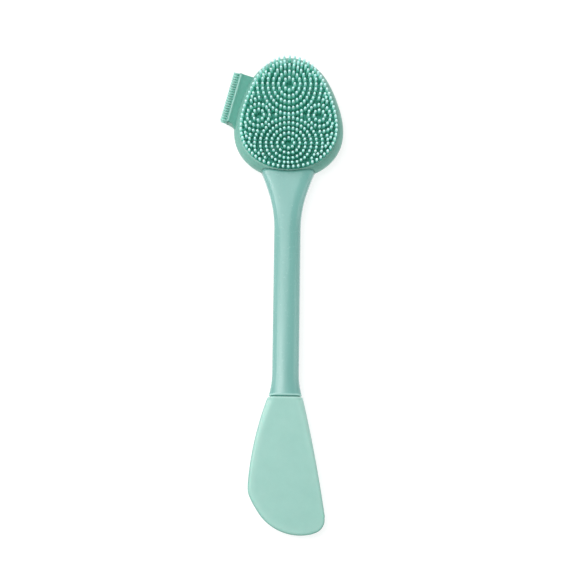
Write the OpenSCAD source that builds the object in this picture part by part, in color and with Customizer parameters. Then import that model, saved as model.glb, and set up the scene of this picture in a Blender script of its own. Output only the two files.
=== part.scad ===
// Facial cleansing brush with a soft bristle head, a side brush and a slip-on spatula.
// It lies on its back: +Z points out of the bristles and +Y along the handle to the head.
// The origin is on the head's flat back, on the handle's centre line.

/* [Head] */
// Half of the head's width
head_half_width = 23.1; // [22:0.1:24]
// How far below the origin the head is widest
head_widest = 4.9; // [4:0.1:6]
// Length of the head from its widest line to the end by the handle
head_lower = 20.2; // [19.5:0.1:21]
// Length of the head from its widest line to its far end
head_upper = 32.5; // [31:0.1:34]
// Height at which the head is widest
widest_height = 5; // [4.6:0.1:5.2]
// Rounding of the front edge of the head
front_round = 4; // [3.8:0.1:4.3]
// Thickness of the plate that carries the face bristles
plate_thickness = 1; // [0.8:0.1:1.2]
// Distance from the head's outline in to the plate's edge
plate_inset = 2.1; // [2:0.1:2.2]

/* [Face bristles] */
// Height of the bristle tips above the head's back
tip_height = 14.5; // [12:0.1:16]
// Distance between neighbouring rings of bristles, across the head
ring_pitch = 2.35; // [2.3:0.05:2.6]
// Root radius of a face bristle
bristle_root = 0.62; // [0.5:0.01:0.65]
// Tip radius of a face bristle
bristle_tip = 0.5; // [0.35:0.01:0.5]
// Distance between bristles in the row that follows the outline
edge_pitch = 1.97; // [1.9:0.01:2.4]
// Distance from the head's outline in to that row
edge_inset = 3; // [2.9:0.1:3.4]

/* [Side brush] */
// Lean of the side brush towards the head's far end, in degrees
side_tilt = 14.5; // [10:0.5:18]
// Length of the side brush
side_length = 22; // [18:0.5:22.5]
// Length of the side bristles
side_bristle_length = 2.9; // [2:0.1:3.5]
// Number of bristles in each row of the side brush
side_columns = 20; // [16:1:22]

/* [Handle] */
// Width of the grip
grip_width = 11.1; // [10.8:0.1:12]
// Thickness of the grip
grip_thickness = 8.6; // [8.2:0.1:8.7]
// Rounding of the grip's long edges
grip_round = 3.2; // [2.5:0.1:3.6]
// Distance from the head's centre to the end of the handle
handle_end = 117.4; // [110:0.1:125]

/* [Spatula] */
// Length of the spatula beyond the handle's end
spatula_length = 56.1; // [55.5:0.1:56.5]
// Thickness of the spatula where it meets the handle
spatula_thickness = 7.4; // [7:0.1:7.6]
// Thickness of the spatula at its free end
spatula_tip_thickness = 2.4; // [2.2:0.1:3]
// Visible groove between the handle and the spatula
seam_gap = 0.5; // [0.3:0.1:0.8]

/* [Hidden] */
$fn = 96;

mid_height = grip_thickness / 2;

// The head's outline is two half ellipses that meet at its widest line.
outline_steps = 60;
head_thickness = widest_height + front_round;
plate_top = widest_height + sqrt(front_round ^ 2 - (front_round - plate_inset) ^ 2);
plate_bottom = plate_top - plate_thickness;

// Paddle and tongue of the rigid handle, and the clearance of their sockets.
paddle_width = 16;
paddle_thickness = 3.2;
paddle_start = -29;
paddle_end = 14;
tongue_width = 8;
tongue_thickness = 3;
tongue_length = 22;
socket_clearance = 0.1;
socket_end_room = 1;
insert_round = 3;

// Grip flares, concave arcs on both sides.
head_flare_radius = 51;
head_flare_start = -47;
head_flare_length = 28;
head_flare_room = 18;
head_joint_gap = 0.05;
end_flare_radius = 33;
end_flare_start = -108;
end_flare_room = 9;
flare_step = 0.02;
cut_room = 1;

// Face bristle pattern: rings around four centres, which fill up to a row along the outline.
ring_centres = [[0, 13.7], [0, -11.9], [12.95, 0.2], [-12.95, 0.2]];
ring_reach = [12, 12, 6, 6];
ring_stretch = [1.1, 0.94, 1, 1];
ring_count = 8;
per_ring = 8;
ring_slack = 2.2;
edge_slack = 0.6;
second_row = 1.75;
second_row_step = 0.4;
least_spacing = 1.5;
walk_steps = 360;
root_sink = 0.3;
tip_chamfer = 0.25;

// Side brush.
side_centre_line = [-23.55, 9.35];
side_plate = 0.9;
side_low = 1.8;
side_high = 8;
side_web_high = 6.4;
side_web_depth = 9;
side_bristle_root = 0.38;
side_bristle_tip = 0.3;
side_rows = 4;
side_row_low = 2.9;
side_row_pitch = 1.4;

// Spatula outline arcs: centre measured from the handle's end, then radius.
spatula_start = -handle_end - seam_gap;
left_arc = [[116.4, -45.2], 131.7];
right_arc = [[-572.4, -139], 596.05];
end_arc = [[7.1, 21.5 - spatula_length], 21.5];
tip_arc = [[10.95, 6.15 - spatula_length], 5.75];
tip_first_angle = -77;
tip_sweep = 87;
crown_radius = 130;
crown_tilt = atan((spatula_thickness - spatula_tip_thickness) / 2 / spatula_length);
crown_length = 160;
outline_facets = 360;

// A point on the head's outline, moved inwards, at an angle from the widest line.
function outline_point(angle, inset) =
    [(head_half_width - inset) * cos(angle),
        ((angle < 0 ? head_lower : head_upper) - inset) * sin(angle) - head_widest];

function head_outline(inset) =
    [for (i = [0 : outline_steps - 1])
        outline_point(360 * i / outline_steps - 180, inset)];

function is_inside(p, inset) =
    let (y = p[1] + head_widest)
    norm([p[0] / (head_half_width - inset),
        y / ((y < 0 ? head_lower : head_upper) - inset)]) <= 1;

// Points at an even distance along the right half of an outline.
function half_walk(inset) =
    [for (i = [0 : walk_steps]) outline_point(180 * i / walk_steps - 90, inset)];

function walked(path, i) = norm(path[i + 1] - path[i]);

function walk_length(path, i = 0) =
    i == len(path) - 1 ? 0 : walked(path, i) + walk_length(path, i + 1);

function point_along(path, distance, i = 0) =
    distance <= walked(path, i) || i == len(path) - 2
        ? path[i] + (path[i + 1] - path[i]) * distance / walked(path, i)
        : point_along(path, distance - walked(path, i), i + 1);

// Points at about that pitch all the way round, in pairs from the end by the handle.
function row_points(inset, least_pitch) =
    let (path = half_walk(inset), half = walk_length(path),
        count = floor(half / least_pitch), pitch = half / count)
    [for (i = [0 : count], side = i % count == 0 ? [1] : [-1, 1])
        let (p = point_along(path, i * pitch)) [side * p[0], p[1]]];

// How far a point is nearer to ring centre i, less its reach, than to any other.
function ring_lead(p, i) =
    min([for (j = [0 : len(ring_centres) - 1]) if (j != i)
        (norm(p - ring_centres[j]) - ring_reach[j]) - (norm(p - ring_centres[i]) - ring_reach[i])]);

function ring_points(least_lead, most_lead, inset) =
    [for (i = [0 : len(ring_centres) - 1], n = [1 : ring_count], k = [0 : n * per_ring - 1])
        let (turn = 90 + 360 * k / (n * per_ring),
            p = ring_centres[i] + n * ring_pitch * [cos(turn), ring_stretch[i] * sin(turn)],
            lead = ring_lead(p, i))
        if (lead >= least_lead && lead < most_lead && is_inside(p, inset)) p];

function is_clear(p, kept) = min([for (q = kept) norm(p - q)]) >= least_spacing;

// Adds each point that keeps its distance from those already there.
function fill(kept, points, i = 0) =
    i == len(points) ? kept
        : fill(is_clear(points[i], kept) ? concat(kept, [points[i]]) : kept, points, i + 1);

// The row along the outline, whole rings, rings where two sets meet, then what fits beside the row.
function face_points() =
    let (inset = edge_inset + edge_slack,
        edge_row = row_points(edge_inset, edge_pitch),
        rings = fill(edge_row, ring_points(ring_slack, head_lower + head_upper, inset)),
        meeting = fill(rings, ring_points(-ring_slack, ring_slack, inset)))
    fill(meeting, row_points(edge_inset + second_row, second_row_step));

// Section of the head's rim: rounded below and above its widest level.
module rim_section(radius) {
    square([radius - widest_height, head_thickness]);
    translate([radius - widest_height, widest_height])
        square([widest_height - front_round, front_round]);
    translate([radius - widest_height, widest_height])
        intersection() {
            circle(widest_height);
            translate([0, -widest_height])
                square(widest_height);
        }
    translate([radius - front_round, widest_height])
        intersection() {
            circle(front_round);
            square(front_round);
        }
}

// Half of the head on one side of its widest line.
module head_half(length) {
    scale([1, length / head_half_width, 1])
        rotate_extrude(angle = 180)
        rim_section(head_half_width);
}

module head_solid() {
    translate([0, -head_widest, 0]) {
        head_half(head_upper);
        mirror([0, 1, 0])
            head_half(head_lower);
    }
}

// Flat insert with a rounded far end, running along +Y from y = 0.
module insert(width, thickness, length) {
    translate([0, 0, mid_height - thickness / 2])
        linear_extrude(thickness) {
            translate([-width / 2, 0])
                square([width, length - insert_round]);
            translate([insert_round - width / 2, 0])
                square([width - 2 * insert_round, length]);
            for (side = [-1, 1])
                translate([side * (width / 2 - insert_round), length - insert_round])
                    circle(insert_round);
        }
}

module paddle(clearance, end_room) {
    translate([0, paddle_start, 0])
        insert(paddle_width + 2 * clearance, paddle_thickness + 2 * clearance,
            paddle_end - paddle_start + end_room);
}

module tongue(clearance, end_room) {
    translate([0, 2 * insert_round - handle_end, 0])
        rotate([0, 0, 180])
        insert(tongue_width + 2 * clearance, tongue_thickness + 2 * clearance,
            2 * insert_round + tongue_length + end_room);
}

module grip_section() {
    edge = grip_width / 2 - grip_round;
    for (x = [-edge, edge], z = [grip_round, grip_thickness - grip_round])
        translate([x, z])
            circle(grip_round);
    translate([-edge, 0])
        square([2 * edge, grip_thickness]);
    translate([-grip_width / 2, grip_round])
        square([grip_width, grip_thickness - 2 * grip_round]);
}

// What is cut away beside a flare: everything nearer than radius, with a rounded edge.
module flare_cut_section(radius) {
    difference() {
        translate([0, -cut_room])
            square([radius + grip_round, grip_thickness + 2 * cut_room]);
        translate([radius, grip_round])
            square([grip_round, grip_thickness - 2 * grip_round]);
        for (z = [grip_round, grip_thickness - grip_round])
            translate([radius + grip_round, z])
                circle(grip_round);
    }
}

// Flare of the grip from y = 0 towards +Y, with concave sides.
module flare(radius, length, half_width) {
    difference() {
        translate([-half_width, 0, 0])
            cube([2 * half_width, length, grip_thickness]);
        for (side = [0, 1])
            mirror([side, 0, 0])
                translate([grip_width / 2 + flare_step + radius, 0, 0])
                rotate_extrude()
                flare_cut_section(radius);
    }
}

module head_flare() {
    difference() {
        translate([0, head_flare_start, 0])
            flare(head_flare_radius, head_flare_length, head_flare_room);
        translate([0, -head_joint_gap, 0])
            head_solid();
    }
}

module end_flare() {
    translate([0, end_flare_start, 0])
        rotate([0, 0, 180])
        flare(end_flare_radius, handle_end + end_flare_start, end_flare_room);
}

module handle() {
    color([0.58, 0.78, 0.75]) {
        translate([0, head_flare_start, 0])
            rotate([90, 0, 0])
            linear_extrude(head_flare_start - end_flare_start)
            grip_section();
        head_flare();
        end_flare();
        paddle(0, 0);
        tongue(0, 0);
    }
}

module head_shell() {
    color([0.5, 0.78, 0.72])
        difference() {
            head_solid();
            paddle(socket_clearance, socket_end_room);
            translate([0, 0, plate_bottom])
                linear_extrude(head_thickness)
                polygon(head_outline(plate_inset));
        }
}

module bristle(root, tip, length) {
    rotate_extrude()
        polygon([[0, 0], [root, 0], [tip, length - tip_chamfer], [tip - tip_chamfer, length], [0, length]]);
}

module bristle_pad() {
    color([0.62, 0.88, 0.82]) {
        translate([0, 0, plate_bottom])
            linear_extrude(plate_thickness)
            polygon(head_outline(plate_inset));
        for (p = face_points())
            translate([p[0], p[1], plate_top - root_sink])
                bristle(bristle_root, bristle_tip, tip_height - plate_top + root_sink);
    }
}

module side_brush() {
    color([0.45, 0.72, 0.66])
        difference() {
            translate([side_centre_line[0], side_centre_line[1], 0])
                rotate([0, 0, -side_tilt]) {
                    translate([0, -side_length / 2, side_low])
                        cube([side_plate, side_length, side_high - side_low]);
                    translate([side_plate / 2, -side_length / 2, side_low])
                        cube([side_web_depth, side_length, side_web_high - side_low]);
                    for (i = [0 : side_columns - 1], j = [0 : side_rows - 1])
                        translate([root_sink, side_length * ((i + 0.5) / side_columns - 0.5),
                            side_row_low + side_row_pitch * j])
                            rotate([0, -90, 0])
                            bristle(side_bristle_root, side_bristle_tip, side_bristle_length + root_sink);
                }
            head_solid();
        }
}

module bullnose(radius) {
    nose = spatula_thickness / 2;
    rotate_extrude($fn = outline_facets) {
        translate([0, mid_height - nose])
            square([radius - nose, spatula_thickness]);
        translate([radius - nose, mid_height])
            intersection() {
                circle(nose);
                translate([0, -nose])
                    square([nose, spatula_thickness]);
            }
    }
}

// What is cut away outside the spatula's far corner.
module tip_corner() {
    nose = spatula_thickness / 2;
    rotate_extrude(angle = tip_sweep, $fn = outline_facets)
        difference() {
            translate([tip_arc[1] - nose, 0])
                square([3 * nose, grip_thickness]);
            translate([tip_arc[1] - nose, mid_height])
                circle(nose);
        }
}

module crown(side) {
    translate([0, spatula_start, mid_height + side * (spatula_thickness / 2 - crown_radius)])
        rotate([90 + side * crown_tilt, 0, 0])
        cylinder(r = crown_radius, h = crown_length, center = true, $fn = outline_facets);
}

module spatula() {
    color([0.63, 0.81, 0.77])
        difference() {
            intersection() {
                translate([left_arc[0][0], spatula_start + left_arc[0][1], 0])
                    bullnose(left_arc[1]);
                translate([right_arc[0][0], spatula_start + right_arc[0][1], 0])
                    bullnose(right_arc[1]);
                union() {
                    translate([end_arc[0][0], spatula_start + end_arc[0][1], 0])
                        bullnose(end_arc[1]);
                    translate([-end_arc[1], spatula_start + end_arc[0][1], 0])
                        cube([2 * end_arc[1], -end_arc[0][1], grip_thickness]);
                }
                crown(1);
                crown(-1);
            }
            translate([tip_arc[0][0], spatula_start + tip_arc[0][1], 0])
                rotate([0, 0, tip_first_angle])
                tip_corner();
            tongue(socket_clearance, socket_end_room);
        }
}

handle();
head_shell();
bristle_pad();
side_brush();
spatula();
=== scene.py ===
"""Facial cleansing brush: smooth meshes, materials, studio light and camera in the CAD's frame."""

import math

import bmesh
import bpy
import numpy as np
from mathutils import Matrix, Vector


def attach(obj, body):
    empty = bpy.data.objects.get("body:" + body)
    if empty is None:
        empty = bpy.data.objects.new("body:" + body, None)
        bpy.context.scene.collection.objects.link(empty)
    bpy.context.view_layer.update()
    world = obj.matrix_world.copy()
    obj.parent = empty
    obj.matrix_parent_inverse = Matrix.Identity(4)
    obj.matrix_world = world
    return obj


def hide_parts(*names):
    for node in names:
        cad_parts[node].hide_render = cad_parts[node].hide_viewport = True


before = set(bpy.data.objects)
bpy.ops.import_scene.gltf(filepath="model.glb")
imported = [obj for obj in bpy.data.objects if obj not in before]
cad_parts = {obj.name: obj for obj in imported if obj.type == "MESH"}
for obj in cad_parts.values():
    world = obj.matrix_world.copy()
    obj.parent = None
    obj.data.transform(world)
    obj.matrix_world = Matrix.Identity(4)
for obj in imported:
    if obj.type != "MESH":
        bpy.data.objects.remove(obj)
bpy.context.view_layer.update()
MM = 0.001

# Sizes shared with the CAD model, in millimetres.
# Head: two half ellipses that meet at the widest line, y = -HEAD_WIDEST.
HEAD_HALF_WIDTH, HEAD_WIDEST, HEAD_LOWER, HEAD_UPPER = 23.1, 4.9, 20.2, 32.5
WIDEST_HEIGHT, FRONT_ROUND, PLATE_INSET = 5.0, 4.0, 2.1
PLATE_TOP = WIDEST_HEIGHT + math.sqrt(FRONT_ROUND**2 - (FRONT_ROUND - PLATE_INSET) ** 2)
# Face bristles: four groups of rings, a row round the edge and one inside it.
TIP_HEIGHT, BRISTLE_ROOT, BRISTLE_TIP = 14.5, 0.62, 0.5
RING_CENTRES = [(0, 13.7), (0, -11.9), (12.95, 0.2), (-12.95, 0.2)]
RING_REACH = [12, 12, 6, 6]
RING_STRETCH = [1.1, 0.94, 1, 1]
RING_PITCH, RING_COUNT, PER_RING = 2.35, 8, 8
RING_SLACK, EDGE_SLACK, LEAST_SPACING = 2.2, 0.6, 1.5
EDGE_INSET, EDGE_PITCH, WALK_STEPS = 3.0, 1.97, 360
SECOND_ROW, SECOND_ROW_STEP = 1.75, 0.4
# Grip, with an arc at each end that flares it.
GRIP_WIDTH, GRIP_THICKNESS = 11.1, 8.6
MID = GRIP_THICKNESS / 2
HANDLE_END, SEAM_GAP = 117.4, 0.5
HEAD_FLARE_RADIUS, HEAD_FLARE_START = 51.0, -47.0
END_FLARE_RADIUS, END_FLARE_START = 33.0, -108.0
# Inserts of the grip in the head and the blade: width, thickness, first and last y.
PADDLE = (16.0, 3.2, -29.0, 14.0)
TONGUE = (8.0, 3.0, -HANDLE_END + 6.0, -HANDLE_END - 22.0)
CLEARANCE, SOCKET_END_ROOM = 0.1, 0.5
# Side brush: centre and tilt of its outer face, heights of the tab and its bristles.
SIDE_CENTRE, SIDE_TILT, SIDE_LENGTH = (-23.55, 9.35), 14.5, 22.0
SIDE_LOW, SIDE_HIGH, SIDE_WEB_HIGH = 1.8, 8.0, 6.4
SIDE_BRISTLE, SIDE_COLUMNS, SIDE_ROWS = 2.9, 20, 4
SIDE_ROOT, SIDE_TIP = 0.38, 0.3
SIDE_ROW_LOW, SIDE_ROW_PITCH = 2.9, 1.4
# Blade. An arc of its outline is the centre's x and distance from the grip, and the radius.
SPATULA_LENGTH, SPATULA_THICKNESS, SPATULA_TIP = 56.1, 7.4, 2.4
LEFT_ARC = (116.4, 45.2, 131.7)
RIGHT_ARC = (-572.4, 139.0, 596.05)
TIP_ARC = (10.95, SPATULA_LENGTH - 6.15, 5.75)

# Sizes of this smooth model alone, in millimetres.
# Head: slimmer than the ellipse at the far end, fuller by the grip, with a lip round the plate.
FAR_SLIMMING, FULLNESS, ELLIPSE_LIMIT = 0.8, 2.1, 0.98
RIM_DEPTH, PLATE_EDGE = 4.7, 3.3
HEAD_SIDES, PLATE_SIDES = 180, 144
BACK_INSETS = (22.6, 20, 16, 12, 9, 7, 6, 5.4)
# The lip's points: inset from PLATE_EDGE and rise above the rim. The first ones get a painted
# highlight.
RIM_LIP = [(-0.5, 0.12), (-0.2, 0.13), (-0.04, 0.02), (0, -0.2), (0, -0.6)]
LIGHT_LIP_POINTS, LIP_LIGHT = 3, 0.55
# The plate's rings: inset from PLATE_EDGE and drop below PLATE_TOP.
PLATE_RINGS = [(0.05, 0.9), (0.05, 0.35), (0.15, 0.1), (0.5, 0), (2.7, 0), (8.7, 0), (14.7, 0)]
# Foot of a bristle: height and what it is wider by than the root.
BRISTLE_FOOT = [(-0.25, 0.42), (0.05, 0.22), (0.25, 0.07), (0.6, 0)]
# Leans of the face bristles, as tangents of the angle; the fan is at the far end.
OUTWARD_LEAN, FAR_LEAN, NEAR_LEAN, PLAIN_LEAN, LEAN_LENGTH = 0.08, 0.11, 0.26, 0.03, 25
FAN_START, FAN_ALONG, FAN_ACROSS = 6.0, 0.28, 0.9
FACE_SCATTER, SIDE_SCATTER = 0.008, 0.006
# Grip: its section is nearly round in the middle and squarer by the head.
GRIP_SIDES, GRIP_POWER, ADDED_POWER = 96, 2.6, 2.0
SQUARING_START, SQUARING_LENGTH, SQUARING_PACE = -50, 24, 1.6
WAIST_START, WAIST_LENGTH, WAIST_DEPTH = -32, 8, 0.4
FLARE_END, FLARE_STEPS, FLARE_GAP = -18.0, 26, 0.05
# The grip's end by the blade, from the collar outwards: y past the end, and how much slimmer.
COLLAR = 0.03 - SEAM_GAP
COLLAR_STEPS = [(COLLAR, 2.6), (COLLAR, 1.1), (COLLAR + 0.06, 0.95), (-0.02, 0.9)]
END_LIP = [(0, 0.8), (0, 0.42), (0.05, 0.22), (0.16, 0.08), (0.36, 0.0)]
# LIP_LENGTH: where the plain grip starts past the end; SEAM_DARK: the painted shade in the seam;
# SEAM_LIGHT_AT and SEAM_LIGHT_WIDTH: where and how wide the painted highlight on the lip is
LIP_LENGTH, SEAM_DARK, SEAM_LIGHT_AT, SEAM_LIGHT_WIDTH = 0.9, -0.8, 0.3, 0.6
INSERT_SIDES, INSERT_ROUND = 48, 3.0
# Side brush: ridge and web, each point the depth behind the outer face and the drop.
RIDGE = [(0.0, 1.2), (0.02, 0.45), (0.1, 0.16), (0.27, 0.03), (0.45, 0), (0.63, 0.03), (0.8, 0.16)]
WEB = [(1.0, 0.28), (1.25, 0.42), (1.7, 0.56), (2.1, 0.66), (2.5, 0.74), (2.8, 0.8), (3.0, 0.84)]
WEB += [(4.0, 1.02), (5.0, 1.2), (6.0, 1.34), (7.2, 1.46), (8.4, 1.7)]
TAB_UNDERSIDE = (5.0, 3.0, 2.8, 2.5, 2.1, 1.5, 0.5)
# Rounded ends of the tab: distance from the end and how much smaller the section is.
TAB_ENDS = [(0.0, 0.42), (0.06, 0.2), (0.2, 0.06), (0.45, 0.0)]
TAB_END_LENGTH, TAB_STEPS, TAB_FRONT = 0.9, 24, 0.5
FILLET_START, FILLET_WIDTH, FILLET_DROP, FILLET_LENGTH = 1.6, 1.9, 2.2, 6
# The blade's far end is two arcs, a flat one by the left edge and a rounder one round the end.
CHEEK_ARC = (22.0, 23.3, 40.33)
END_ARC = (6.65, SPATULA_LENGTH - 20.35, 20.7)
CHEEK_END, TIP_ARC_START, CORNER_BLEND = 46.0, TIP_ARC[1] - 0.9, 0.9
BLADE_END = END_ARC[1] + END_ARC[2]
BLADE_COLUMNS, BLADE_LIP = 61, 0.36
# Blade's thickness: rounded rim, crown across, both fuller in the neck by the grip.
NECK_LENGTH, RIM_WIDTH, NECK_RIM_WIDTH, RIM_POWER = 16, 1.1, 2.2, 2.4
CROWN, CROWN_HALF_WIDTH, CROWN_LOSS, LEAST_HALF = 0.5, 16, 0.6, 0.55


# Meshes


def add_mesh(name, points, faces, material):
    """A smooth piece of that name, from points in millimetres."""
    mesh = bpy.data.meshes.new(name)
    mesh.from_pydata([tuple(p) for p in points], [], faces)
    mesh.update()
    mesh.transform(Matrix.Scale(MM, 4))
    for polygon in mesh.polygons:
        polygon.use_smooth = True
    mesh.materials.append(material)
    piece = bpy.data.objects.new(name, mesh)
    bpy.context.scene.collection.objects.link(piece)
    return piece



def set_painted_shading(piece, values):
    """How much painted light (up to 1) or painted shade (down to -1) the material gets at each of the
    piece's points.
    """
    layer = piece.data.attributes.new("painted_shading", "FLOAT", "POINT")
    layer.data.foreach_set("value", values)


def bridge(rings):
    """Quads between closed rings of equal size, whose points follow one another."""
    size = len(rings[0])
    faces = []
    for a in range(len(rings) - 1):
        for b in range(size):
            c = (b + 1) % size
            faces.append((a * size + b, a * size + c, (a + 1) * size + c, (a + 1) * size + b))
    return [p for ring in rings for p in ring], faces


def flipped(faces):
    return [tuple(reversed(f)) for f in faces]


def even_turns(count):
    """Angles of a whole turn from its left end, at even steps."""
    return np.linspace(-math.pi, math.pi, count + 1)[:-1]


def join(parts):
    """One list of points and one of faces from several such pairs."""
    points, faces = [], []
    for more_points, more_faces in parts:
        base = len(points)
        points.extend(more_points)
        faces.extend([tuple(base + i for i in f) for f in more_faces])
    return points, faces


# Head


def outline_point(angle, inset):
    """Point of the head's outline in the CAD, moved inwards by inset."""
    length = HEAD_LOWER if math.sin(angle) < 0 else HEAD_UPPER
    return (
        (HEAD_HALF_WIDTH - inset) * math.cos(angle),
        (length - inset) * math.sin(angle) - HEAD_WIDEST,
    )


def slimmed(x, y):
    """The CAD's two half ellipses made slimmer towards the far end and fuller by the handle."""
    if y > -HEAD_WIDEST:
        t = min((y + HEAD_WIDEST) / HEAD_UPPER, ELLIPSE_LIMIT)
        loss = FAR_SLIMMING * math.sin(math.pi * t) ** 2 / HEAD_HALF_WIDTH / math.sqrt(1 - t * t)
        return x * (1 - loss)
    t = min(-(y + HEAD_WIDEST) / HEAD_LOWER, ELLIPSE_LIMIT)
    return x * (1 - t**FULLNESS) ** (1 / FULLNESS) / math.sqrt(1 - t * t)


def slim_ring(inset, z, turns):
    """Ring of the slimmed outline at that inset and height."""
    ring = [outline_point(a, inset) for a in turns]
    return [(slimmed(x, y), y, z) for x, y in ring]


def is_inside(p, inset):
    """Whether the point is within the CAD's outline at that inset."""
    y = p[1] + HEAD_WIDEST
    length = HEAD_LOWER if y < 0 else HEAD_UPPER
    return math.hypot(p[0] / (HEAD_HALF_WIDTH - inset), y / (length - inset)) <= 1


def row_points(inset, least_pitch):
    """Points at about that pitch along the outline, in pairs from the end by the handle."""
    path = [
        np.array(outline_point(math.pi * i / WALK_STEPS - math.pi / 2, inset))
        for i in range(WALK_STEPS + 1)
    ]
    walked = np.concatenate(
        ([0.0], np.cumsum([np.linalg.norm(b - a) for a, b in zip(path, path[1:])]))
    )
    count = int(walked[-1] / least_pitch)
    out = []
    for i in range(count + 1):
        x = np.interp(i * walked[-1] / count, walked, [p[0] for p in path])
        y = np.interp(i * walked[-1] / count, walked, [p[1] for p in path])
        out += [(side * x, y) for side in ((1,) if i % count == 0 else (-1, 1))]
    return out


def ring_lead(p, i):
    """How much nearer the point is to ring group i than to the nearest other group."""
    d = [math.dist(p, c) - r for c, r in zip(RING_CENTRES, RING_REACH)]
    return min(d[j] - d[i] for j in range(len(d)) if j != i)


def ring_points(least, most, inset):
    """Points of all ring groups whose lead is from least up to most."""
    out = []
    for i, c in enumerate(RING_CENTRES):
        for n in range(1, RING_COUNT + 1):
            for k in range(n * PER_RING):
                a = math.pi / 2 + 2 * math.pi * k / (n * PER_RING)
                p = (
                    c[0] + n * RING_PITCH * math.cos(a),
                    c[1] + n * RING_PITCH * RING_STRETCH[i] * math.sin(a),
                )
                if least <= ring_lead(p, i) < most and is_inside(p, inset):
                    out.append(p)
    return out


def face_points():
    """Feet of the face bristles: edge row, rings, then what still fits between them."""
    inset = EDGE_INSET + EDGE_SLACK
    kept = row_points(EDGE_INSET, EDGE_PITCH)
    for points in (
        ring_points(RING_SLACK, HEAD_LOWER + HEAD_UPPER, inset),
        ring_points(-RING_SLACK, RING_SLACK, inset),
        row_points(EDGE_INSET + SECOND_ROW, SECOND_ROW_STEP),
    ):
        for p in points:
            if min(math.dist(p, q) for q in kept) >= LEAST_SPACING:
                kept.append(p)
    return kept


def head_profile():
    """(inset, height) from the middle of the back round the rim to the plate's groove."""
    back = [(inset, 0.0) for inset in BACK_INSETS]
    lower = [
        (WIDEST_HEIGHT * (1 - math.sin(a)), WIDEST_HEIGHT * (1 - math.cos(a)))
        for a in np.linspace(0, math.pi / 2, 15)
    ]
    # the front rounding is a little deeper than high
    end = math.acos((RIM_DEPTH - PLATE_INSET) / RIM_DEPTH)
    upper = [
        (RIM_DEPTH * (1 - math.cos(a)), WIDEST_HEIGHT + FRONT_ROUND * math.sin(a))
        for a in np.linspace(0, end, 14)[1:]
    ]
    top = upper[-1][1]
    lip = [(PLATE_EDGE + inset, top + rise) for inset, rise in RIM_LIP]
    return back + lower + upper + lip


def make_head_shell(material):
    turns = even_turns(HEAD_SIDES)
    size = len(turns)
    profile = head_profile()
    points, faces = bridge([slim_ring(inset, z, turns) for inset, z in profile])
    faces.append(tuple(reversed(range(size))))
    # a floor under the bristle plate closes the shell
    last = len(points)
    points += slim_ring(PLATE_EDGE + 2, PLATE_TOP - 1.0, turns)
    for b in range(size):
        c = (b + 1) % size
        faces.append((last - size + b, last - size + c, last + c, last + b))
    faces.append(tuple(range(last, last + size)))
    piece = add_mesh("head_sleeve", points, faces, material)
    # painted highlight on the first points of the lip round the plate
    first_light = len(profile) - len(RIM_LIP)
    light = range(first_light, first_light + LIGHT_LIP_POINTS)
    set_painted_shading(piece, [LIP_LIGHT if i // size in light else 0.0 for i in range(len(points))])
    return piece


def bristle(foot, direction, length, root, tip, sides=14):
    """A tapered bristle with a filleted foot and a round tip, grown from foot along direction."""
    direction = np.array(direction, float)
    direction /= np.linalg.norm(direction)
    across = np.cross(direction, (0, 1, 0) if abs(direction[1]) < 0.9 else (1, 0, 0))
    across /= np.linalg.norm(across)
    other = np.cross(direction, across)
    body = length - tip
    profile = [(h, root + wider) for h, wider in BRISTLE_FOOT]
    profile += [(body * t, root + (tip - root) * t) for t in (0.35, 0.6, 0.82, 1.0)]
    profile += [
        (body + tip * math.sin(a), tip * math.cos(a))
        for a in np.linspace(0, math.pi / 2, 6)[1:-1]
    ]
    foot = np.array(foot)
    rings = []
    for h, r in profile:
        rings.append(
            [
                foot + direction * h + r * (across * math.cos(a) + other * math.sin(a))
                for a in np.linspace(0, 2 * math.pi, sides + 1)[:-1]
            ]
        )
    points, faces = bridge(rings)
    points.append(foot + direction * length)
    top = len(points) - 1
    base = top - sides
    for b in range(sides):
        faces.append((base + b, base + (b + 1) % sides, top))
    faces.append(tuple(reversed(range(sides))))
    return points, faces


def make_plate():
    """Points and faces of the thin plate that the face bristles stand on."""
    turns = even_turns(PLATE_SIDES)
    rings = [slim_ring(PLATE_EDGE + inset, PLATE_TOP - drop, turns) for inset, drop in PLATE_RINGS]
    points, faces = bridge(rings)
    faces.append(tuple(reversed(range(len(turns)))))
    last = len(points) - len(turns)
    faces.append(tuple(range(last, last + len(turns))))
    return points, faces


def face_bristle(x, y, random):
    """The bristle at (x, y). They fan out at the far end, and the ones by the handle lean over it."""
    rise = TIP_HEIGHT - PLATE_TOP
    fan = max((y - FAN_START) / (HEAD_UPPER - HEAD_WIDEST - FAN_START), 0) ** 2
    sideways = (OUTWARD_LEAN + FAN_ACROSS * fan**2) * x / HEAD_HALF_WIDTH
    lean_x = sideways + random.normal(0, FACE_SCATTER)
    spread = FAR_LEAN if y > -HEAD_WIDEST else NEAR_LEAN
    lengthways = spread * (y + HEAD_WIDEST) / LEAN_LENGTH + PLAIN_LEAN + FAN_ALONG * fan
    lean_y = lengthways + random.normal(0, FACE_SCATTER)
    foot_x = slimmed(x, y) - rise * OUTWARD_LEAN * x / HEAD_HALF_WIDTH
    foot_y = y - rise * (lean_y - FAN_ALONG * fan)
    length = rise * math.sqrt(1 + lean_x**2 + lean_y**2)
    foot = (foot_x, foot_y, PLATE_TOP)
    return bristle(foot, (lean_x, lean_y, 1), length, BRISTLE_ROOT, BRISTLE_TIP)


def make_bristle_pad(material):
    random = np.random.default_rng(7)
    parts = [make_plate()]
    parts += [face_bristle(x, y, random) for x, y in face_points()]
    points, faces = join(parts)
    return add_mesh("face_bristles", points, faces, material)


# Handle


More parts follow.
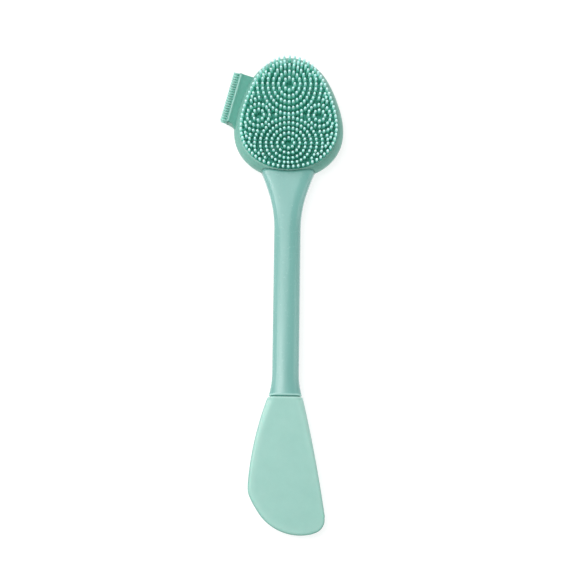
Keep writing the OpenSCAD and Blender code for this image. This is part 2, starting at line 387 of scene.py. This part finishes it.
def head_wall(x, z):
    """y of the head's lower wall at that x and height."""
    if z >= WIDEST_HEIGHT:
        rise = min((z - WIDEST_HEIGHT) / FRONT_ROUND, 1)
        inset = RIM_DEPTH * (1 - math.sqrt(1 - rise**2))
    else:
        depth = WIDEST_HEIGHT**2 - (WIDEST_HEIGHT - z) ** 2
        inset = WIDEST_HEIGHT - math.sqrt(max(depth, 0))
    width, length = HEAD_HALF_WIDTH - inset, HEAD_LOWER - inset
    y = -HEAD_WIDEST - length
    for _ in range(6):
        across = min(abs(x * x / slimmed(x, y)) / width, 1) if x else 0
        y = -HEAD_WIDEST - length * math.sqrt(1 - across**2)
    return y


def grip_half_width(y):
    half = GRIP_WIDTH / 2
    if y > HEAD_FLARE_START:
        slim = WAIST_DEPTH * (max(y - WAIST_START, 0) / WAIST_LENGTH) ** 2
        level = math.sqrt(HEAD_FLARE_RADIUS**2 - (y - HEAD_FLARE_START) ** 2)
        return half - slim + HEAD_FLARE_RADIUS - level
    if y < END_FLARE_START:
        level = math.sqrt(END_FLARE_RADIUS**2 - (END_FLARE_START - y) ** 2)
        return half + END_FLARE_RADIUS - level
    return half


def squareness(y):
    """The grip is nearly round in the middle and squarer where it meets the head."""
    t = min(max((y - SQUARING_START) / SQUARING_LENGTH, 0), 1)
    return GRIP_POWER + ADDED_POWER * t**SQUARING_PACE


def section_point(t, half_width, low, high, square):
    """Point at turn t of 0..1 of a rounded section between the heights low and high."""
    a = 2 * math.pi * t
    c, s = math.cos(a), math.sin(a)
    height = (high - low) / 2
    power = 2 / square
    x = half_width * math.copysign(abs(c) ** power, c)
    z = height * math.copysign(abs(s) ** power, s)
    return x, (low + high) / 2 + z


def grip_ring(y, half_width, shrink, square):
    """Ring of the grip's section at y, with its top and bottom moved inwards by shrink."""
    ring = []
    for i in range(GRIP_SIDES):
        x, z = section_point(i / GRIP_SIDES, half_width, shrink, GRIP_THICKNESS - shrink, square)
        ring.append((x, y, z))
    return ring


def seam_rings():
    """The end by the blade: a collar in the seam, then a rounded lip."""
    rings = []
    for dy, shrink in COLLAR_STEPS + END_LIP:
        y = -HANDLE_END + dy
        rings.append(grip_ring(y, grip_half_width(y) - shrink, shrink, GRIP_POWER))
    return rings


def grip_rings():
    end_flare = np.linspace(-HANDLE_END + LIP_LENGTH, END_FLARE_START, 10)
    middle = np.linspace(END_FLARE_START, HEAD_FLARE_START, 30)[1:]
    stations = np.concatenate((end_flare, middle))
    return [grip_ring(y, grip_half_width(y), 0.0, squareness(y)) for y in stations]


def flare_point(t, v):
    """Point at turn t of the flare by the head, at v of the way to the head's wall."""
    y = HEAD_FLARE_START
    for _ in range(12):
        half = grip_half_width(min(y, FLARE_END))
        x, z = section_point(t, half, 0.0, GRIP_THICKNESS, squareness(y))
        end = head_wall(x, z) - FLARE_GAP
        y = HEAD_FLARE_START + (end - HEAD_FLARE_START) * v
    return x, y, z


def flare_rings():
    turns = [i / GRIP_SIDES for i in range(GRIP_SIDES)]
    return [[flare_point(t, k / FLARE_STEPS) for t in turns] for k in range(1, FLARE_STEPS + 1)]


def wall_rings(edge):
    """Lip and hollow face against the head, inwards from the flare's last ring."""
    rings = []
    for scale, sink in ((0.985, 0), (0.95, 0.02), (0.8, 0.02), (0.6, 0.02)):
        ring = []
        for x, _, z in edge:
            nx, nz = x * scale, MID + (z - MID) * scale
            ring.append((nx, head_wall(nx, nz) - FLARE_GAP - sink, nz))
        rings.append(ring)
    return rings


def seam_shade(y):
    """Painted shade on the collar in the seam, a painted highlight on the lip beside it."""
    beyond = y + HANDLE_END
    if beyond < -0.01:
        return SEAM_DARK
    return max(1 - abs(beyond - SEAM_LIGHT_AT) / SEAM_LIGHT_WIDTH, 0)


def close_ends(points, faces, size):
    """A face on the first ring and one on the last ring of that size."""
    last = len(points) - size
    return faces + [tuple(range(size)), tuple(reversed(range(last, last + size)))]


def make_handle(material):
    rings = seam_rings() + grip_rings() + flare_rings()
    rings += wall_rings(rings[-1])
    points, faces = bridge(rings)
    faces = flipped(close_ends(points, faces, GRIP_SIDES))
    piece = add_mesh("grip", points, faces, material)
    # painted shade in the seam and a painted highlight on the lip beside it
    set_painted_shading(piece, [seam_shade(y) for _, y, _ in points])
    return piece


def insert_ring(width, thickness, inset, y):
    """Ring of an insert's section, a rectangle with rounded edges."""
    ring = []
    for i in range(INSERT_SIDES):
        a = 2 * math.pi * i / INSERT_SIDES
        c, s = math.cos(a), math.sin(a)
        x = math.copysign(min(abs(c) ** 0.25, 1), c) * (width / 2 - inset)
        z = MID + math.copysign(min(abs(s) ** 0.45, 1), s) * thickness / 2
        ring.append((x, y, z))
    return ring


def insert_mesh(width, thickness, y0, y1):
    """Points and faces of a flat insert with rounded edges, from y0 to its rounded end at y1."""
    sign = 1 if y1 > y0 else -1
    length = abs(y1 - y0)
    straight = length - INSERT_ROUND
    reaches = [0.0, length * 0.3, length * 0.6, straight]
    reaches += [straight + INSERT_ROUND * math.sin(a) for a in np.linspace(0, math.pi / 2, 8)[1:]]
    rings = []
    for reach in reaches:
        beyond = max(reach - straight, 0)
        inset = INSERT_ROUND - math.sqrt(max(INSERT_ROUND**2 - beyond**2, 0))
        rings.append(insert_ring(width, thickness, inset, y0 + sign * reach))
    points, faces = bridge(rings)
    faces = close_ends(points, faces, INSERT_SIDES)
    return points, flipped(faces) if sign > 0 else faces


def cut_socket(piece, width, thickness, y0, y1):
    """Cut the socket of an insert of that size out of the piece."""
    mesh = bpy.data.meshes.new("socket")
    end = y1 + math.copysign(SOCKET_END_ROOM, y1 - y0)
    points, faces = insert_mesh(width + 2 * CLEARANCE, thickness + 2 * CLEARANCE, y0, end)
    mesh.from_pydata([tuple(c * MM for c in p) for p in points], [], faces)
    cutter = bpy.data.objects.new("socket", mesh)
    bpy.context.scene.collection.objects.link(cutter)
    boolean = piece.modifiers.new("socket", "BOOLEAN")
    boolean.object = cutter
    boolean.solver = "EXACT"
    bpy.context.view_layer.update()
    evaluated = piece.evaluated_get(bpy.context.evaluated_depsgraph_get())
    piece.data = bpy.data.meshes.new_from_object(evaluated)
    piece.modifiers.clear()
    bpy.data.objects.remove(cutter)


# Side brush


TILT = math.radians(SIDE_TILT)
SIDE_OUT = np.array((-math.cos(TILT), math.sin(TILT), 0))
SIDE_ALONG = np.array((math.sin(TILT), math.cos(TILT), 0))
SIDE_MIDDLE = np.array((*SIDE_CENTRE, 0))


def side_place(u, v, z):
    """u along the ridge, v inwards from its outer face."""
    return SIDE_MIDDLE + SIDE_ALONG * u - SIDE_OUT * v + np.array((0, 0, z))


def side_section():
    """(v, z) of ridge and web, from the outer face over the top to the buried inner end."""
    outer = [(0.0, SIDE_LOW + 0.5), (0.0, SIDE_LOW + 1.5)]
    upper = [(v, SIDE_HIGH - drop) for v, drop in RIDGE + WEB]
    under = [(WEB[-1][0], SIDE_LOW + 0.1)]
    under += [(v, SIDE_LOW) for v in TAB_UNDERSIDE]
    return outer + upper + under + [(0.15, SIDE_LOW + 0.15)]


def tab_ring(section, u, shrink):
    """The section at u, made smaller by shrink."""
    middle = (SIDE_LOW + SIDE_WEB_HIGH) / 2
    ring = []
    for v, z in section:
        dz = math.copysign(min(shrink, abs(z - middle)), middle - z)
        dv = shrink if v < TAB_FRONT else 0.0
        # the web's lower edge runs into the head's rim in a concave curve
        reach = min(max((v - FILLET_START) / FILLET_WIDTH, 0), 1)
        fade = max(1 - (u + SIDE_LENGTH / 2) / FILLET_LENGTH, 0)
        slide = FILLET_DROP * (1 - math.sqrt(1 - reach**2)) * fade
        ring.append(side_place(u - slide, v + dv, z + dz))
    return ring


def make_tab():
    """Points and faces of the ridge and the web that joins it to the head."""
    half = SIDE_LENGTH / 2
    spans = [(-half + d, shrink) for d, shrink in TAB_ENDS]
    straight = np.linspace(-half + TAB_END_LENGTH, half - TAB_END_LENGTH, TAB_STEPS)
    spans += [(u, 0.0) for u in straight]
    spans += [(half - d, shrink) for d, shrink in reversed(TAB_ENDS)]
    section = side_section()
    points, faces = bridge([tab_ring(section, u, shrink) for u, shrink in spans])
    return points, close_ends(points, flipped(faces), len(section))


def side_bristle(column, row, random):
    u = SIDE_LENGTH * ((column + 0.5) / SIDE_COLUMNS - 0.5)
    foot = side_place(u, 0.0, SIDE_ROW_LOW + SIDE_ROW_PITCH * row)
    scatter = np.array((0, random.normal(0, SIDE_SCATTER), random.normal(0, SIDE_SCATTER)))
    return bristle(foot, SIDE_OUT + scatter, SIDE_BRISTLE, SIDE_ROOT, SIDE_TIP, 10)


def side_shade(p):
    """Painted highlight on the ridge's crest, painted light towards the bristles' tips, painted shade
    at the ridge's two ends.
    """
    offset = np.array(p) - SIDE_MIDDLE
    beyond = float(np.dot(offset, SIDE_OUT))
    if beyond < 0.05 and abs(np.dot(offset, SIDE_ALONG)) > SIDE_LENGTH / 2 - 0.25:
        return -0.7
    crest = min(max(1.5 - abs(beyond + 0.5) / 0.45, 0), 1)
    crest *= max((p[2] - SIDE_HIGH + 0.45) / 0.45, 0)
    return min(max(beyond / SIDE_BRISTLE - 0.18, 0) * 1.6 + 0.75 * crest, 1)


def make_side_brush(material):
    random = np.random.default_rng(11)
    parts = [make_tab()]
    for column in range(SIDE_COLUMNS):
        parts += [side_bristle(column, row, random) for row in range(SIDE_ROWS)]
    points, faces = join(parts)
    piece = add_mesh("side_bristles", points, faces, material)
    set_painted_shading(piece, [side_shade(p) for p in points])
    return piece


# Spatula


def arc_reach(arc, d):
    """Half the width of the arc's circle at distance d beyond the handle's end."""
    return math.sqrt(max(arc[2] ** 2 - (d - arc[1]) ** 2, 0))


def spatula_edges(d):
    """Left and right x at distance d beyond the handle's end."""
    left = LEFT_ARC[0] - arc_reach(LEFT_ARC, d)
    right = RIGHT_ARC[0] + arc_reach(RIGHT_ARC, d)
    arc = END_ARC if d > CHEEK_END else CHEEK_ARC
    lower = arc[0] - (arc_reach(arc, d) if d > CHEEK_ARC[1] else arc[2])
    left = (left + lower + math.hypot(left - lower, CORNER_BLEND)) / 2
    if d > CHEEK_END:
        right = min(right, arc[0] + arc_reach(arc, d))
    if TIP_ARC_START < d <= TIP_ARC[1] + TIP_ARC[2]:
        right = min(right, TIP_ARC[0] + arc_reach(TIP_ARC, d))
    return left, right


def blade_shade(s, d, e):
    """Painted light through the thin edge, stronger on the left and fading along the blade, and
    painted shade at the very rim: s across, d along, e from the rim.
    """
    # a painted highlight on the blade's lip by the grip
    if d < 1.5:
        return max(0.8 - d, 0)
    glow = (1 - 0.55 * s) * max(1 - d / 75, 0.3)
    glow *= min(max((e - 0.3) / 0.7, 0), 1) * max(1 - e / 3.6, 0) ** 1.2
    # painted shade round the very rim
    rim = max(1 - e / 0.55, 0) * (0.55 + 0.45 * min(d / 40, 1))
    return glow - rim


def spatula_stations():
    """Distances beyond the handle's end, closer together at both ends of the blade."""
    far = 40
    turns = np.linspace(0, math.pi / 2, 70)[1:]
    return np.concatenate(
        ((0, 0.08, 0.2, 0.36, 0.6), np.linspace(1, far, 58), far + (BLADE_END - far) * np.sin(turns))
    )


def rim_distance(rim, p):
    """How far the point is from the line through the points of the rim."""
    a, b = rim[:-1], rim[1:]
    ab = b - a
    lengths = np.maximum((ab**2).sum(1), 1e-12)
    t = np.clip(((p - a) * ab).sum(1) / lengths, 0, 1)
    q = a + ab * t[:, None]
    return float(np.sqrt(((p - q) ** 2).sum(1)).min())


def half_thickness(x, d, e):
    """Half the blade's thickness at x and distance d, at distance e from the rim."""
    neck = math.exp(-d / NECK_LENGTH)
    slope = (SPATULA_TIP - SPATULA_THICKNESS) * d / SPATULA_LENGTH
    crown = CROWN * (x / CROWN_HALF_WIDTH) ** 2 * (1 - CROWN_LOSS * neck)
    half = max((SPATULA_THICKNESS + slope) / 2 - crown, LEAST_HALF)
    width = RIM_WIDTH + NECK_RIM_WIDTH * neck
    if e < width:
        half *= math.sqrt(max(1 - (1 - e / width) ** RIM_POWER, 0))
    return half


def blade_rows():
    """Rows of (x, d, half thickness, shade) across the blade, from the grip to the far end."""
    ds = spatula_stations()
    edges = [spatula_edges(d) for d in ds]
    # open at the handle's end, so only the sides and the far end count as rim
    down = [(left, d) for d, (left, _) in zip(ds, edges)]
    up = [(right, d) for d, (_, right) in zip(ds, edges)]
    rim = np.array(down + up[::-1])
    last = BLADE_COLUMNS - 1
    spread = [(1 - math.cos(math.pi * i / last)) / 2 for i in range(BLADE_COLUMNS)]
    rows = []
    for d, (left, right) in zip(ds, edges):
        row = []
        for s in spread:
            x = left + (right - left) * s
            e = rim_distance(rim, np.array((x, d)))
            row.append((x, d, half_thickness(x, d, e), blade_shade(s, d, e)))
        rows.append(row)
    return rows


def blade_points(rows):
    """Points, shades and the point numbers of the upper and lower side; the rim is in both."""
    points, shades = [], []
    top, bottom = {}, {}
    start = -HANDLE_END - SEAM_GAP
    for i, row in enumerate(rows):
        for j, (x, d, half, shade) in enumerate(row):
            rim = j in (0, BLADE_COLUMNS - 1) or i == len(rows) - 1
            lip = max(BLADE_LIP - d, 0)
            sink = BLADE_LIP - math.sqrt(max(BLADE_LIP**2 - lip**2, 0))
            half = 0 if rim else max(half - sink, 0)
            x *= 1 - sink / 9
            top[i, j] = len(points)
            points.append((x, start - d, MID + half))
            shades.append(shade)
            bottom[i, j] = top[i, j]
            if not rim:
                bottom[i, j] = len(points)
                points.append((x, start - d, MID - half))
                shades.append(shade)
    return points, shades, top, bottom


def blade_faces(top, bottom, row_count):
    faces = []
    last = BLADE_COLUMNS - 1
    for i in range(row_count - 1):
        for j in range(last):
            faces.append((top[i, j], top[i, j + 1], top[i + 1, j + 1], top[i + 1, j]))
            quad = (bottom[i, j], bottom[i + 1, j], bottom[i + 1, j + 1], bottom[i, j + 1])
            faces.append(quad)
    # end face against the handle
    mouth = [top[0, j] for j in range(BLADE_COLUMNS)]
    mouth += [bottom[0, j] for j in range(last - 1, 0, -1)]
    faces.append(tuple(reversed(mouth)))
    return faces


def without_repeats(faces):
    """Each face with its points once, and no face of fewer than three."""
    kept = [tuple(dict.fromkeys(f)) for f in faces]
    return [f for f in kept if len(f) > 2]


def merge_doubles(piece):
    """Merge points in one place and turn all faces outwards."""
    work = bmesh.new()
    work.from_mesh(piece.data)
    bmesh.ops.remove_doubles(work, verts=work.verts, dist=1e-7)
    bmesh.ops.recalc_face_normals(work, faces=work.faces)
    work.to_mesh(piece.data)
    work.free()


def make_spatula(material):
    rows = blade_rows()
    points, shades, top, bottom = blade_points(rows)
    faces = without_repeats(flipped(blade_faces(top, bottom, len(rows))))
    piece = add_mesh("spatula_blade", points, faces, material)
    set_painted_shading(piece, shades)
    merge_doubles(piece)
    return piece


# Materials


def srgb(r, g, b):
    """Linear colour from an sRGB one of 0 to 255."""
    out = []
    for c in (r, g, b):
        c /= 255
        out.append(c / 12.92 if c <= 0.04045 else ((c + 0.055) / 1.055) ** 2.4)
    return (*out, 1)


class Nodes:
    """A material's node tree with a Principled shader, built in mm of object space."""

    def __init__(self, name):
        self.material = bpy.data.materials.new(name)
        self.material.use_nodes = True
        self.tree = self.material.node_tree
        self.shader = self.tree.nodes["Principled BSDF"]
        self.place = self.add("ShaderNodeTexCoord").outputs["Object"]

    def add(self, kind, **values):
        node = self.tree.nodes.new(kind)
        for key, value in values.items():
            setattr(node, key, value)
        return node

    def link(self, a, b):
        self.tree.links.new(a, b)

    def noise(self, scale_mm, detail=3.0, rough=0.5, stretch=(1, 1, 1)):
        mapping = self.add("ShaderNodeMapping")
        mapping.inputs["Scale"].default_value = stretch
        self.link(self.place, mapping.inputs["Vector"])
        noise = self.add("ShaderNodeTexNoise")
        noise.inputs["Scale"].default_value = 1 / (scale_mm * MM)
        noise.inputs["Detail"].default_value = detail
        noise.inputs["Roughness"].default_value = rough
        self.link(mapping.outputs["Vector"], noise.inputs["Vector"])
        return noise.outputs["Fac"]

    def ramp(self, value, stops):
        ramp = self.add("ShaderNodeValToRGB")
        while len(ramp.color_ramp.elements) < len(stops):
            ramp.color_ramp.elements.new(0.5)
        for element, (at, colour) in zip(ramp.color_ramp.elements, stops):
            element.position = at
            element.color = colour
        self.link(value, ramp.inputs["Fac"])
        return ramp.outputs["Color"]

    def spread(self, value, low, high, out_low, out_high):
        """The value, mapped from low..high to out_low..out_high."""
        spread = self.add("ShaderNodeMapRange")
        limits = {"From Min": low, "From Max": high, "To Min": out_low, "To Max": out_high}
        for key, limit in limits.items():
            spread.inputs[key].default_value = limit
        self.link(value, spread.inputs["Value"])
        return spread.outputs["Result"]

    def mix(self, a, b, factor):
        mix = self.add("ShaderNodeMix", data_type="RGBA")
        for socket, value in ((mix.inputs[6], a), (mix.inputs[7], b)):
            if isinstance(value, tuple):
                socket.default_value = value
            else:
                self.link(value, socket)
        self.link(factor, mix.inputs[0])
        return mix.outputs[2]

    def painted_shading_mix(self, base, light, dark):
        """Painted light where the mesh's painted-shading attribute is above zero, painted shade where
        it is below.
        """
        painted_shading = self.add("ShaderNodeAttribute", attribute_name="painted_shading").outputs["Fac"]
        lit = self.mix(base, light, self.spread(painted_shading, 0, 1, 0, 1))
        return self.mix(lit, dark, self.spread(painted_shading, 0, -1, 0, 1))

    def bump(self, height, strength, distance_mm):
        bump = self.add("ShaderNodeBump")
        bump.inputs["Strength"].default_value = strength
        bump.inputs["Distance"].default_value = distance_mm * MM
        self.link(height, bump.inputs["Height"])
        self.link(bump.outputs["Normal"], self.shader.inputs["Normal"])

    def height(self):
        split = self.add("ShaderNodeSeparateXYZ")
        self.link(self.place, split.inputs["Vector"])
        return split.outputs["Z"]


def handle_plastic():
    n = Nodes("handle_plastic")
    cloud = n.noise(9, 4, 0.55, (1, 0.35, 1))
    base = n.ramp(cloud, [(0.3, srgb(114, 172, 164)), (0.7, srgb(121, 178, 170))])
    speck = n.noise(0.35, 2, 0.6)
    colour = n.mix(base, srgb(132, 186, 178), n.spread(speck, 0.62, 0.8, 0, 0.3))
    # painted highlight on the lip by the blade and painted shade on the collar in the seam
    colour = n.painted_shading_mix(colour, srgb(176, 224, 215), srgb(90, 150, 140))
    n.link(colour, n.shader.inputs["Base Color"])
    wear = n.noise(1.6, 5, 0.65)
    n.link(n.spread(wear, 0.3, 0.7, 0.2, 0.29), n.shader.inputs["Roughness"])
    n.shader.inputs["Subsurface Weight"].default_value = 0.12
    n.shader.inputs["Subsurface Radius"].default_value = (0.6, 1.0, 0.95)
    n.shader.inputs["Subsurface Scale"].default_value = 1.2 * MM
    n.shader.inputs["Coat Weight"].default_value = 0.35
    n.shader.inputs["Coat Roughness"].default_value = 0.12
    n.bump(n.noise(2.4, 3, 0.5, (1, 0.5, 1)), 0.12, 0.05)
    return n.material


def silicone(name, low, high, roughness, light, dark):
    """Soft matte silicone, cloudy between low and high, with painted light and painted shade where
    the mesh's painted-shading attribute asks for them.
    """
    n = Nodes(name)
    cloud = n.noise(5, 4, 0.6)
    base = n.painted_shading_mix(n.ramp(cloud, [(0.3, low), (0.7, high)]), light, dark)
    n.link(base, n.shader.inputs["Base Color"])
    wear = n.noise(0.8, 4, 0.6)
    n.link(n.spread(wear, 0.3, 0.7, roughness - 0.05, roughness + 0.06), n.shader.inputs["Roughness"])
    n.shader.inputs["Subsurface Weight"].default_value = 0.35
    n.shader.inputs["Subsurface Radius"].default_value = (0.5, 1.0, 0.9)
    n.shader.inputs["Subsurface Scale"].default_value = 2.0 * MM
    n.shader.inputs["Sheen Weight"].default_value = 0.15
    n.shader.inputs["Sheen Roughness"].default_value = 0.5
    n.bump(n.noise(0.25, 3, 0.6), 0.18, 0.03)
    return n.material


def bristle_silicone():
    n = Nodes("bristle_silicone")
    lift = n.spread(n.height(), (PLATE_TOP - 0.4) * MM, TIP_HEIGHT * MM, 0, 1)
    # painted light and shade along the height: painted shade down among the roots, lighter up to
    # painted light on the tips
    base = n.ramp(
        lift,
        [
            (0.0, srgb(74, 174, 154)),
            (0.3, srgb(94, 193, 173)),
            (0.5, srgb(118, 208, 190)),
            (0.68, srgb(172, 240, 226)),
            (0.82, srgb(208, 255, 249)),
        ],
    )
    cloud = n.noise(3, 3, 0.5)
    colour = n.mix(base, srgb(120, 205, 185), n.spread(cloud, 0.45, 0.75, 0, 0.08))
    n.link(colour, n.shader.inputs["Base Color"])
    n.link(
        n.spread(n.noise(0.4, 3, 0.6), 0.3, 0.7, 0.42, 0.55), n.shader.inputs["Roughness"]
    )
    n.shader.inputs["Specular IOR Level"].default_value = 0.2
    n.shader.inputs["Subsurface Weight"].default_value = 0.3
    n.shader.inputs["Subsurface Radius"].default_value = (0.4, 1.0, 0.85)
    n.shader.inputs["Subsurface Scale"].default_value = 1.2 * MM
    n.bump(n.noise(0.18, 2, 0.5), 0.1, 0.02)
    return n.material


def floor_material():
    n = Nodes("studio_paper")
    grain = n.noise(1.2, 4, 0.6)
    n.link(
        n.ramp(grain, [(0.3, srgb(158, 158, 158)), (0.7, srgb(162, 162, 162))]),
        n.shader.inputs["Base Color"],
    )
    n.shader.inputs["Emission Color"].default_value = (1, 1, 1, 1)
    n.shader.inputs["Emission Strength"].default_value = 0.75
    n.shader.inputs["Roughness"].default_value = 0.9
    n.shader.inputs["Specular IOR Level"].default_value = 0.1
    return n.material


# The brush

handle_material = handle_plastic()
# the head's light colour is the painted highlight on its lip; its dark colour is a painted shade that
# no point of the head asks for
head_material = silicone(
    "head_silicone",
    srgb(112, 170, 156),
    srgb(120, 177, 163),
    0.42,
    light=srgb(160, 214, 200),
    dark=srgb(80, 150, 132),
)
# the side brush's light colour is the painted highlight on the ridge and painted light on the
# bristles; its dark colour is the painted shade at the ridge's ends
side_material = silicone(
    "side_silicone",
    srgb(96, 168, 152),
    srgb(104, 175, 159),
    0.42,
    light=srgb(172, 222, 209),
    dark=srgb(80, 150, 132),
)
# the blade's light colour is painted light through its thin edge and on its lip by the grip; its dark
# colour is the painted shade round its rim
spatula_material = silicone(
    "spatula_silicone",
    srgb(152, 201, 190),
    srgb(157, 205, 194),
    0.5,
    light=srgb(192, 228, 218),
    dark=srgb(92, 160, 144),
)

grip = make_handle(handle_material)
paddle = add_mesh("head_paddle", *insert_mesh(*PADDLE), handle_material)
tongue = add_mesh("spatula_tongue", *insert_mesh(*TONGUE), handle_material)
head_shell = make_head_shell(head_material)
bristles = make_bristle_pad(bristle_silicone())
side_brush = make_side_brush(side_material)
spatula = make_spatula(spatula_material)
cut_socket(head_shell, *PADDLE)
cut_socket(spatula, *TONGUE)

for piece, body in (
    (grip, "handle"),
    (paddle, "handle"),
    (tongue, "handle"),
    (head_shell, "brush_head"),
    (bristles, "brush_head"),
    (side_brush, "brush_head"),
    (spatula, "spatula"),
):
    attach(piece, body)

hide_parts("handle")
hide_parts("head_shell")
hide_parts("bristle_pad")
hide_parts("side_brush")
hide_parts("spatula")


# Floor, light and camera

FLOOR_REACH, FLOOR_DROP = 3.0, 0.0004
LIGHT_TARGET = (0, -0.07, 0)
ELEVATION, DISTANCE, ROLL = math.radians(79), 0.796, math.radians(0.75)
CAMERA_TARGET = Vector((-0.00006, -0.07123, 0.004))


def add_floor():
    corners = [(-1, -1), (1, -1), (1, 1), (-1, 1)]
    mesh = bpy.data.meshes.new("floor")
    mesh.from_pydata([(FLOOR_REACH * x, FLOOR_REACH * y, 0) for x, y in corners], [], [(0, 1, 2, 3)])
    mesh.materials.append(floor_material())
    floor = bpy.data.objects.new("floor", mesh)
    floor.location.z = -FLOOR_DROP
    bpy.context.scene.collection.objects.link(floor)
    return floor


def add_world(strength):
    world = bpy.data.worlds.new("studio")
    bpy.context.scene.world = world
    world.use_nodes = True
    background = world.node_tree.nodes["Background"]
    background.inputs["Color"].default_value = (1, 1, 1, 1)
    background.inputs["Strength"].default_value = strength


def add_area(name, place, width, height, power):
    """A rectangular light that points at the middle of the brush."""
    light = bpy.data.lights.new(name, "AREA")
    light.shape = "RECTANGLE"
    light.size, light.size_y = width, height
    light.energy = power
    obj = bpy.data.objects.new(name, light)
    obj.location = place
    obj.rotation_mode = "QUATERNION"
    obj.rotation_quaternion = (Vector(LIGHT_TARGET) - Vector(place)).to_track_quat("-Z", "Y")
    bpy.context.scene.collection.objects.link(obj)


def add_camera():
    """The camera looks at CAMERA_TARGET from the handle's side, high above the brush."""
    data = bpy.data.cameras.new("camera")
    data.sensor_width = 36
    data.lens = 120
    data.clip_start, data.clip_end = 0.05, 20
    camera = bpy.data.objects.new("camera", data)
    bpy.context.scene.collection.objects.link(camera)
    bpy.context.scene.camera = camera
    back = Vector((0, -math.cos(ELEVATION), math.sin(ELEVATION)))
    up = Vector((0, math.sin(ELEVATION), math.cos(ELEVATION)))
    right = Vector((1, 0, 0))
    across = right * math.cos(ROLL) + up * math.sin(ROLL)
    upward = up * math.cos(ROLL) - right * math.sin(ROLL)
    matrix = Matrix((across, upward, back)).transposed().to_4x4()
    matrix.translation = CAMERA_TARGET + back * DISTANCE
    camera.matrix_world = matrix


floor = add_floor()
add_world(0.42)
add_area("strip", (-0.4, -0.02, 0.75), 0.16, 0.9, 2.2)
add_area("key", (-0.35, 0.3, 0.85), 0.6, 0.9, 4.4)
add_area("fill", (0.8, -0.1, 0.35), 0.4, 0.8, 1.5)
add_area("low", (-0.8, -0.05, 0.3), 0.4, 0.8, 1.3)
add_camera()
bpy.context.scene.view_settings.view_transform = "Standard"
